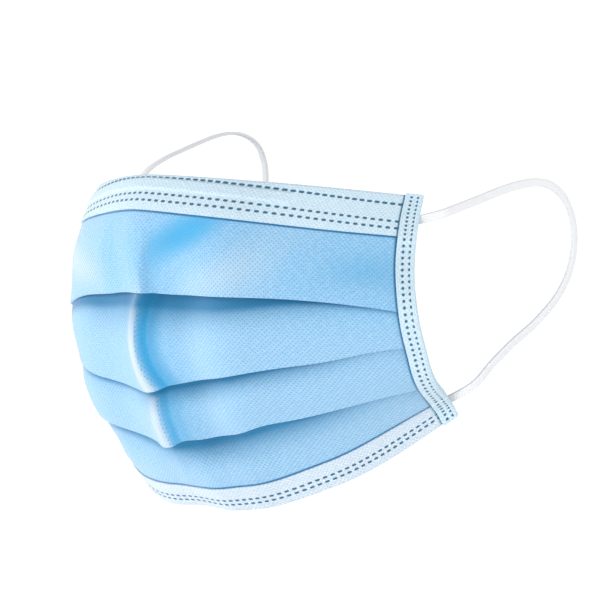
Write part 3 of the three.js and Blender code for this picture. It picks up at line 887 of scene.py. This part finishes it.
class MASK_OT_stage(bpy.types.Operator):
    """Camera at the photograph's angle, a pale floor, white surroundings and soft lights."""

    bl_idname = "mask.stage"
    bl_label = "Stage"

    def execute(self, context):
        scene = context.scene
        camera = bpy.data.objects.new("camera", bpy.data.cameras.new("camera"))
        scene.collection.objects.link(camera)
        scene.camera = camera
        target = Vector(CAMERA_TARGET) * MM
        place = Vector(CAMERA_PLACE) * MM
        camera.location = place
        camera.rotation_mode = "QUATERNION"
        camera.rotation_quaternion = facing(place, target) @ Quaternion((0, 0, 1), CAMERA_ROLL)
        camera.data.lens = CAMERA_LENS
        camera.data.sensor_width = 36
        camera.data.clip_start = 0.01
        camera.data.clip_end = 20

        angle = np.linspace(0, 2 * np.pi, FLOOR_SIDES + 1)[:-1]
        circle = np.stack([np.cos(angle), np.sin(angle), np.zeros_like(angle)], axis=-1)
        points = np.vstack([circle * FLOOR_HALF, np.zeros(3)]) + FLOOR_MIDDLE
        faces = [(i, (i + 1) % FLOOR_SIDES, FLOOR_SIDES) for i in range(FLOOR_SIDES)]
        mesh = bpy.data.meshes.new("floor")
        mesh.from_pydata(points.tolist(), [], faces)
        floor = bpy.data.objects.new("floor", mesh)
        scene.collection.objects.link(floor)
        material, tree, shader = start_material("Pale floor", 0.7)
        coords = add(tree, "ShaderNodeTexCoord").outputs["Object"]
        cloud = add(tree, "ShaderNodeTexNoise", {"Vector": coords, "Scale": 3.0, "Detail": 2.0})
        tone = blend_colour(tree, cloud.outputs["Fac"], (0.80, 0.81, 0.82, 1), (0.84, 0.845, 0.85, 1))
        tree.links.new(tone, shader.inputs["Base Color"])
        mesh.materials.append(material)

        world = bpy.data.worlds.new("white surroundings")
        scene.world = world
        world.use_nodes = True
        tree = world.node_tree
        background = tree.nodes["Background"]
        background.inputs["Color"].default_value = (0.94, 0.97, 1, 1)
        seen = calc(tree, "MULTIPLY", add(tree, "ShaderNodeLightPath").outputs["Is Camera Ray"], WHITE_SEEN)
        tree.links.new(calc(tree, "ADD", seen, WHITE_LIGHT), background.inputs["Strength"])
        scene.view_settings.view_transform = "Standard"

        for name, spot, size, power in LIGHTS:
            data = bpy.data.lights.new(name, "AREA")
            data.shape = "DISK"
            data.size = size
            data.energy = power
            light = bpy.data.objects.new(name, data)
            light.location = spot
            light.rotation_mode = "QUATERNION"
            light.rotation_quaternion = facing(Vector(spot), target)
            scene.collection.objects.link(light)
        return {"FINISHED"}


def smooth_route(route, steps):
    """Points along a smooth curve through the route's points, knotted by the distance between them."""
    gaps = np.linalg.norm(np.diff(route, axis=0), axis=1)
    knots = np.concatenate([[0], np.cumsum(gaps)])
    places = np.linspace(0, knots[-1], steps)
    columns = np.repeat(knots[:, None], steps, axis=1)
    values = np.repeat(route[:, None, :], steps, axis=1)
    return through(columns, values, places)


def elastic_band(route, across, upright):
    """A flat elastic along a route: a rounded rectangle whose first axis is X made square to the route.

    across and upright are its sizes on the two axes, and its corners follow a squared circle.
    """
    steps = len(route)
    tangent = np.gradient(route, axis=0)
    tangent /= np.linalg.norm(tangent, axis=1, keepdims=True)
    first = np.array([1.0, 0, 0]) - tangent * tangent[:, :1]
    first /= np.linalg.norm(first, axis=1, keepdims=True)
    second = np.cross(tangent, first)
    angle = np.linspace(0, 2 * np.pi, LOOP_SIDES + 1)[:-1]
    a, b = (np.sign(wave) * np.abs(wave) ** LOOP_CORNER_POWER * size / 2
            for wave, size in ((np.cos(angle), across), (np.sin(angle), upright)))
    rings = route[:, None] + first[:, None] * a[None, :, None] + second[:, None] * b[None, :, None]
    count = angle.size
    points = np.concatenate([rings.reshape(-1, 3), route[:1], route[-1:]])
    here = np.arange(count)
    nearby = (here + 1) % count
    rows = (np.arange(steps - 1) * count)[:, None]
    quads = np.stack([rows + here, rows + nearby, rows + count + nearby, rows + count + here], axis=-1)
    quads = quads.reshape(-1, 4)
    first_cap = np.stack([nearby, here, np.full(count, steps * count)], axis=-1)
    last = (steps - 1) * count
    last_cap = np.stack([last + here, last + nearby, np.full(count, steps * count + 1)], axis=-1)
    run = np.concatenate([[0], np.cumsum(np.linalg.norm(np.diff(route, axis=0), axis=1))])
    uv = np.stack(np.broadcast_arrays(run[:, None], (angle * 2.0 / np.pi)[None]), axis=-1).reshape(-1, 2)
    uv = np.concatenate([uv, uv[:1], uv[-1:]])
    return points, quads, np.concatenate([first_cap, last_cap]), uv


def elastic_material(colour):
    """Knitted elastic: fine ribs along it and small steps across them."""
    material, tree, shader = start_material("Elastic", 0.7, sheen=0.3)
    band = add(tree, "ShaderNodeUVMap", uv_map="Cloth").outputs[0]
    split = add(tree, "ShaderNodeSeparateXYZ", {0: band}).outputs
    ribs = calc(tree, "SINE", calc(tree, "MULTIPLY", split["Y"], 9.0))
    stitches = calc(tree, "SINE", calc(tree, "MULTIPLY", split["X"], 9.0))
    knit = calc(tree, "MULTIPLY", calc(tree, "ADD", ribs, calc(tree, "MULTIPLY", stitches, 0.5)), 0.5)
    tone = spread(tree, knit, -1.0, 1.0, 0.0, 1.0)
    dark = opaque(colour, (0.985, 0.985, 0.985))
    tree.links.new(blend_colour(tree, tone, dark, opaque(colour)), shader.inputs["Base Color"])
    bump = add(tree, "ShaderNodeBump", {"Height": knit, "Distance": 0.00004, "Strength": 0.12})
    tree.links.new(bump.outputs["Normal"], shader.inputs["Normal"])
    return material


class MASK_OT_ear_loops(bpy.types.Operator):
    """Both flat elastic ear loops, from one corner of the mask to the other."""

    bl_idname = "mask.ear_loops"
    bl_label = "Ear loops"

    def execute(self, context):
        sizes = context.scene.mask_sizes
        colours = context.scene.mask_colours
        material = elastic_material(colours.elastic)
        width = sizes.loop_width / MM
        thick = sizes.loop_thickness / MM
        loops = (
            ("left_loop", "ear_loop_left", LEFT_LOOP_ROUTE, 1, thick, width),
            ("right_loop", "ear_loop_right", RIGHT_LOOP_ROUTE, -1, width, thick),
        )
        lengths = np.array([LOOP_START, end_length(np.ones(1))[0] - LOOP_END_RISE])
        for name, node, route, side, across, upright in loops:
            share = np.full(2, side * (1 - LOOP_INWARD / HALF_WIDTH))
            ends = cloth_points(share, lengths, np.full(2, LOOP_HEIGHT)) / MM
            path = smooth_route(np.vstack([ends[:1], route, ends[1:]]), LOOP_STEPS)
            points, quads, caps, uv = elastic_band(path, across, upright)
            points = points * MM
            padded = np.concatenate([caps, caps[:, 2:]], axis=1)
            if volume(points, np.concatenate([quads, padded])) < 0:
                quads, caps = quads[:, ::-1], caps[:, ::-1]
            faces = quads.tolist() + caps.tolist()
            piece = make_piece(name, points, faces, node, [material], {"Cloth": uv}, sharp=60)
        return {"FINISHED"}


def get_groups():
    """The shader groups, made once."""
    makers = {"weld": ("Weld row", weld_row_group), "points": ("Embossed points", embossed_points_group),
              "fibres": ("Fibres", fibres_group)}
    return {key: bpy.data.node_groups.get(name) or make() for key, (name, make) in makers.items()}


# Where the bindings end on the outside, and colours of the painted shade along seams and of the blue
# cloth's painted shade in folds and hollows and painted highlight on crests.
BINDING_VISIBLE = 5.7
SEAM_SHADE_BLUE = (0.015, 0.16, 0.34)
SEAM_SHADE_WHITE = (0.10, 0.25, 0.36)
FOLD_SHADE_BLUE = (0.0, 0.155, 0.33)
HOLLOW_SHADE_BLUE = (0.03, 0.34, 0.63)
RIDGE_HIGHLIGHT_BLUE = (0.50, 0.60, 0.68)


def binding_shade_line(across, shift, half):
    """The shade along the bindings' inner edges for every share across."""
    return line_mask(HALF_WIDTH * (1 - np.abs(across)), BINDING_VISIBLE + shift, half)


# Columns of the pleated cloth on each side, how they spread out from the nose line, and those beside and
# under the binding's edge.
PANEL_COLUMNS = 103
PANEL_COLUMNS_POWER = 1.3
PANEL_COLUMNS_LEFT = 0.010
BESIDE_BINDING = np.array([-0.0065, -0.003, 0.0, 0.004])
UNDER_BINDING = np.array([0.96, 0.975, 1 - EDGE_START / HALF_WIDTH])


def panel_columns():
    """Shares across of the pleated cloth, close together near the nose line and at the bindings' edges."""
    edge = 1 - BINDING_VISIBLE / HALF_WIDTH
    spread_out = np.linspace(0, 1, PANEL_COLUMNS + 1)[1:] ** PANEL_COLUMNS_POWER
    half = np.concatenate([spread_out * (edge - PANEL_COLUMNS_LEFT), edge + BESIDE_BINDING, UNDER_BINDING])
    return np.concatenate([-half[::-1], [0], half])


# Painted light and shade of the blue cloth as a relief share: that of even cloth, and what the crease's
# crest, its dip, its steep near side and the dents add to it. The crest and raised dents take a painted
# highlight, the dip, the steep near side and sunk dents a painted shade.
RELIEF_EVEN = 0.64
RELIEF_CREST = 0.6
RELIEF_DIP = 0.36
RELIEF_STEEP = 0.5
STEEP_FROM = 0.25
RELIEF_DENTS = 0.38


def relief_shade_and_highlight(across, length, bump):
    """The cloth's relief for its painted light and shade, from 0 to 1. Below 0.5 it takes the hollows'
    painted shade, above it the crests' painted highlight.
    """
    slope = np.gradient(bump, across * HALF_WIDTH, axis=1)
    crease = RELIEF_CREST * (np.clip(bump, 0, None) / CREASE_RISE) ** 2 + RELIEF_DIP * np.clip(bump, None, 0)
    crease = crease - RELIEF_STEEP * np.clip(-slope - STEEP_FROM, 0, 1)
    dents = RELIEF_DENTS * dent_bells(across[None], length)
    return np.clip(RELIEF_EVEN + crease + dents, 0, 1)


class MASK_OT_panel(bpy.types.Operator):
    """The pleated blue cloth with its three folds and white lining."""

    bl_idname = "mask.panel"
    bl_label = "Pleated cloth"

    def execute(self, context):
        colours = context.scene.mask_colours
        groups = get_groups()
        # The blue cloth with painted shade along its seams, in its folds and hollows, and a painted highlight
        # on its crests.
        blue = cloth_material("Blue cloth", colours.blue, groups, shade_colour=SEAM_SHADE_BLUE, point_depth=0.7,
                              fold_shade_colour=FOLD_SHADE_BLUE, hollow_shade_colour=HOLLOW_SHADE_BLUE, ridge_highlight_colour=RIDGE_HIGHLIGHT_BLUE, sheen=0.45)
        white = cloth_material("White lining", colours.white, groups, point_depth=0.2)
        across = panel_columns()
        length, height, behind, bump = panel_profile(across)
        run = running_length(length, height)
        uv = np.stack(np.broadcast_arrays(across[None] * HALF_WIDTH, run), axis=-1)
        # Painted shade along the bands' and bindings' edges on the blue cloth.
        lines = (top_band_end(across) + 0.25, end_length(across) - HEM_WIDTH - 0.25)
        shade = np.maximum(*(line_mask(length, line, 0.4) for line in lines))
        shade = np.maximum(shade, binding_shade_line(across, 0.2, 0.4)[None])
        # Painted shade along the seams and in the folds, and painted shade in the hollows with a painted
        # highlight on the crests.
        shades = {
            "seam_shade": shade,
            "painted_fold_shade": 0.95 * smooth_share(behind / 3.0),
            "relief": relief_shade_and_highlight(across, length, bump),
        }
        thickness = context.scene.mask_sizes.cloth / MM
        piece = cloth_sheet("pleated_cloth", lambda s, n: cloth_points(across[None], s, n), length, height,
                            thickness, "face_panel", [blue, white], {"Cloth": uv}, shades)
        return {"FINISHED"}


def band_columns(half_count):
    """Shares across of the long bands, close enough together for the weld marks."""
    half = np.linspace(0, 1 - 1.0 / HALF_WIDTH, half_count)
    return np.concatenate([-half[:0:-1], half])


def fold_band(lengths, heights, level, inside_width, inside_rows):
    """Length and height grids of a band: its outer rows, the turn round the cloth and its inside rows."""
    ones = np.ones(lengths.shape[1])
    turn = half_turn(ones, level * ones, -level * ones, -1, 11)
    inside = np.linspace(1.0, inside_width, inside_rows)[1:]
    length = np.concatenate([lengths[:-1], turn[0], inside[:, None] * ones])
    height = np.concatenate([heights[:-1], turn[1], np.full((inside.size, ones.size), -level)])
    return length, height


def welded_sheet(name, node, place, along, length, height, beside, outside, welds, material, sizes,
                 shades=None):
    """A sheet pressed with weld marks on its first rows, as many as outside says.

    along and beside are each point's place for the marks, and the other rows lie away from all of them.
    """
    cloth = np.stack(np.broadcast_arrays(along[None], running_length(length, height)), axis=-1)
    seen = np.arange(length.shape[0]) < outside
    seam = np.stack(np.broadcast_arrays(along[None], np.where(seen[:, None], beside, -9.0)), axis=-1)
    marks = weld_marks(seam[..., 0], seam[..., 1], welds)
    cloth_sheet(name, place, length, height, sizes.band / MM, node, [material],
                {"Cloth": cloth, "Seam": seam}, shades, marks * (sizes.weld_depth / MM))


def weld_rows(rows, start, end, pitch, size, width):
    """Weld marks of this size in rows that run from start to end."""
    return [{"Row": row, "Start": start, "End": end, "Pitch": pitch, "Length": size, "Width": width}
            for row in rows]


BAND_ENDS = (-87.3, 87.3)
TOP_WELDS = weld_rows((1.2,), *BAND_ENDS, 2.53, 1.8, 0.9) + weld_rows((7.2, 9.5), *BAND_ENDS, 2.53, 1.5, 0.85)
BOTTOM_WELDS = weld_rows((4.9, 3.2), *BAND_ENDS, 2.4, 1.5, 0.8)

# Height of the bands' inner face, and the rise over the strip: its gap, and how softly it starts and ends.
BAND_LEVEL = 0.56
STRIP_SHIFT = -0.5
STRIP_GAP = 0.05
STRIP_MARGIN = 0.6
STRIP_EASE = 0.7
STRIP_END_EASE = 0.8
STRIP_BASE = 0.52
STRIP_SIDE_SHARE = 0.55
HEM_TINT = (1.03, 0.945, 0.945)


class MASK_OT_bands(bpy.types.Operator):
    """The white bands folded over the long edges, pressed with rows of weld marks."""

    bl_idname = "mask.bands"
    bl_label = "Long bands"

    def execute(self, context):
        sizes = context.scene.mask_sizes
        colours = context.scene.mask_colours
        groups = get_groups()
        level = BAND_LEVEL + sizes.band / MM / 2

        across = band_columns(266)
        beyond = STRIP_LENGTH / 2 + STRIP_MARGIN - np.abs(across) * HALF_WIDTH
        lift = smooth_share(beyond / STRIP_END_EASE) * (sizes.strip / MM + STRIP_GAP)
        lengths = rows_between(top_band_end(across), np.ones_like(across), np.linspace(0, 1, 66))
        drift = weld_drift(across)
        start = STRIP_FROM_TOP + STRIP_SHIFT + drift
        stop = start + STRIP_WIDTH
        over = smooth_share((lengths - start + STRIP_EASE) / STRIP_EASE)
        over = over * smooth_share((stop + STRIP_END_EASE - lengths) / STRIP_END_EASE)
        length, height = fold_band(lengths, level + lift[None] * over, level, TOP_BAND_INSIDE, 16)
        white = cloth_material("White band", colours.white, groups, TOP_WELDS, colours.weld,
                               point_depth=0.5, shade_colour=SEAM_SHADE_WHITE)
        # Painted shade along the bindings' inner edges.
        shade = np.repeat(binding_shade_line(across, 0.15, 0.35)[None], len(length), axis=0)
        welded_sheet("top_band_cloth", "top_band", lambda s, n: cloth_points(across[None], s, n),
                     across * HALF_WIDTH, length, height, length - drift, len(lengths) - 1, TOP_WELDS, white,
                     sizes, {"seam_shade": shade})

        columns = band_columns(240)
        ones = np.ones_like(columns)
        lengths = rows_between(HEM_WIDTH * ones, ones, np.linspace(0, 1, 34))
        length, height = fold_band(lengths, level * np.ones_like(lengths), level, BOTTOM_BAND_INSIDE, 10)
        end = end_length(columns)[None]
        hem = cloth_material("White hem", opaque(colours.white, HEM_TINT)[:3], groups, BOTTOM_WELDS,
                             colours.weld, point_depth=0.5, shade_colour=SEAM_SHADE_WHITE)
        # Painted shade along the bindings' inner edges.
        shade = np.repeat(binding_shade_line(columns, 0.15, 0.35)[None], len(length), axis=0)
        welded_sheet("bottom_band_cloth", "bottom_band", lambda s, n: cloth_points(columns[None], end - s, n),
                     columns * HALF_WIDTH, length, height, length, len(lengths) - 1, BOTTOM_WELDS, hem,
                     sizes, {"seam_shade": shade})
        return {"FINISHED"}


class MASK_OT_nose_strip(bpy.types.Operator):
    """The flat bendable strip inside the upper band."""

    bl_idname = "mask.nose_strip"
    bl_label = "Nose strip"

    def execute(self, context):
        thick = context.scene.mask_sizes.strip / MM
        material, tree, shader = start_material("Nose strip", 0.4)
        coords = add(tree, "ShaderNodeTexCoord").outputs["Object"]
        grain = add(tree, "ShaderNodeTexNoise", {"Vector": coords, "Scale": 900.0, "Detail": 3.0})
        tone = blend_colour(tree, grain.outputs["Fac"], (0.78, 0.80, 0.82, 1), (0.88, 0.9, 0.92, 1))
        tree.links.new(tone, shader.inputs["Base Color"])
        half = STRIP_LENGTH / 2 / HALF_WIDTH
        across = np.linspace(-half, half, 161)
        rows = np.linspace(0, 1, 15)
        crown = np.sqrt(np.clip(1 - (2 * rows - 1) ** 4, 0, 1))
        start = STRIP_FROM_TOP + STRIP_SHIFT + weld_drift(across)
        length = start[None] + STRIP_WIDTH * rows[:, None]
        top = STRIP_BASE + thick * mix(STRIP_SIDE_SHARE, 1.0, crown)[:, None] * np.ones_like(across)
        outer = cloth_points(across[None], length, top)
        inner = cloth_points(across[None], length, np.full_like(length, STRIP_BASE))
        points = np.concatenate([outer.reshape(-1, 3), inner.reshape(-1, 3)])
        faces = np.concatenate(shell_faces(*length.shape))
        if volume(points, faces) < 0:
            faces = faces[:, ::-1]
        make_piece("nose_strip_wire", points, faces.tolist(), "nose_strip", [material])
        return {"FINISHED"}


# The bindings' weld marks are finer in a zone at each end. The turn is where the sheet folds round the side.
BINDING_ZONES = (
    (0.6, 14.6, 1.4, 0.85, 0.95),
    (14.6, 74.2, 1.87, 1.0, 1.0),
    (74.2, 86.3, 1.75, 1.05, 1.25),
)
BINDING_WELDS = [weld for zone in BINDING_ZONES for weld in weld_rows((1.6, 3.7), *zone)]
BINDING_TURN = 1.2
BINDING_OVER_BANDS = (1.08, 1.3)
BINDING_BESIDE_BANDS = (0.62, 1.75)
BINDING_EASE = 2.5


class MASK_OT_bindings(bpy.types.Operator):
    """The white bindings folded round the short sides, over all the pleat layers."""

    bl_idname = "mask.bindings"
    bl_label = "Side bindings"

    def execute(self, context):
        sizes = context.scene.mask_sizes
        colours = context.scene.mask_colours
        material = cloth_material("White binding", colours.white, get_groups(), BINDING_WELDS, colours.weld,
                                  point_depth=0.5)
        end = float(end_length(np.ones(1))[0])
        down = np.linspace(0.0, end, 280)
        ones = np.ones_like(down)
        on_top_band = 1 - smooth_share((down - TOP_BAND - BAND_DRIFT) / BINDING_EASE)
        on_bottom_band = 1 - smooth_share((end - down - HEM_WIDTH) / BINDING_EASE)
        over = np.maximum(on_top_band, on_bottom_band)
        outward, backward = (mix(beside, on, over) + sizes.band / MM / 2
                             for beside, on in zip(BINDING_BESIDE_BANDS, BINDING_OVER_BANDS))
        outer = np.linspace(BINDING_VISIBLE, BINDING_TURN, 24)[:-1]
        inner = np.linspace(BINDING_TURN, BINDING_WIDTH, 10)[1:]
        turn = half_turn(BINDING_TURN * ones, outward, -backward, -1, 13)
        squash = BINDING_TURN / ((outward + backward) / 2)
        turn_in = BINDING_TURN + (turn[0] - BINDING_TURN) * squash[None]
        inward = np.concatenate([outer[:, None] * ones, turn_in, inner[:, None] * ones])
        heights = [np.tile(outward, (outer.size, 1)), turn[1], np.tile(-backward, (inner.size, 1))]
        height = np.concatenate(heights)

        def place(side, s, n):
            """Points of one side's binding from their distance to the side and their height."""
            wide = side * (1 - np.clip(s, 0, None) / HALF_WIDTH)
            share = np.broadcast_to(down[None] / end, s.shape)
            return cloth_points(wide, share * end_length(wide.ravel()).reshape(wide.shape), n)

        for name, node, side in (("left_binding", "side_binding_left", 1),
                                 ("right_binding", "side_binding_right", -1)):
            welded_sheet(name, node, partial(place, side), down, inward, height, inward, outer.size,
                         BINDING_WELDS, material, sizes)
        return {"FINISHED"}


class MASK_PT_panel(bpy.types.Panel):
    """Sidebar panel that lists the pieces of the mask."""

    bl_idname = "MASK_PT_panel"
    bl_label = "Face Mask"
    bl_space_type = "VIEW_3D"
    bl_region_type = "UI"
    bl_category = "Face Mask"

    def draw(self, context):
        for group in (context.scene.mask_sizes, context.scene.mask_colours):
            box = self.layout.box()
            for name in group.bl_rna.properties.keys():
                if name not in ("rna_type", "name"):
                    box.prop(group, name)
        for operator in OPERATORS:
            self.layout.operator(operator.bl_idname)


OPERATORS = (MASK_OT_stage, MASK_OT_ear_loops, MASK_OT_panel, MASK_OT_bands, MASK_OT_nose_strip,
             MASK_OT_bindings)
CLASSES = (MaskSizes, MaskColours, *OPERATORS, MASK_PT_panel)


def register():
    """Registers the classes and hangs the sizes and colours on the scene."""
    for cls in CLASSES:
        bpy.utils.register_class(cls)
    bpy.types.Scene.mask_sizes = bpy.props.PointerProperty(type=MaskSizes)
    bpy.types.Scene.mask_colours = bpy.props.PointerProperty(type=MaskColours)


def unregister():
    """Takes everything back out."""
    del bpy.types.Scene.mask_colours
    del bpy.types.Scene.mask_sizes
    for cls in reversed(CLASSES):
        bpy.utils.unregister_class(cls)


def main():
    register()
    for operator in (bpy.ops.mask.stage, bpy.ops.mask.ear_loops, bpy.ops.mask.panel, bpy.ops.mask.bands,
                     bpy.ops.mask.nose_strip, bpy.ops.mask.bindings):
        operator()


if __name__ == "__main__":
    main()
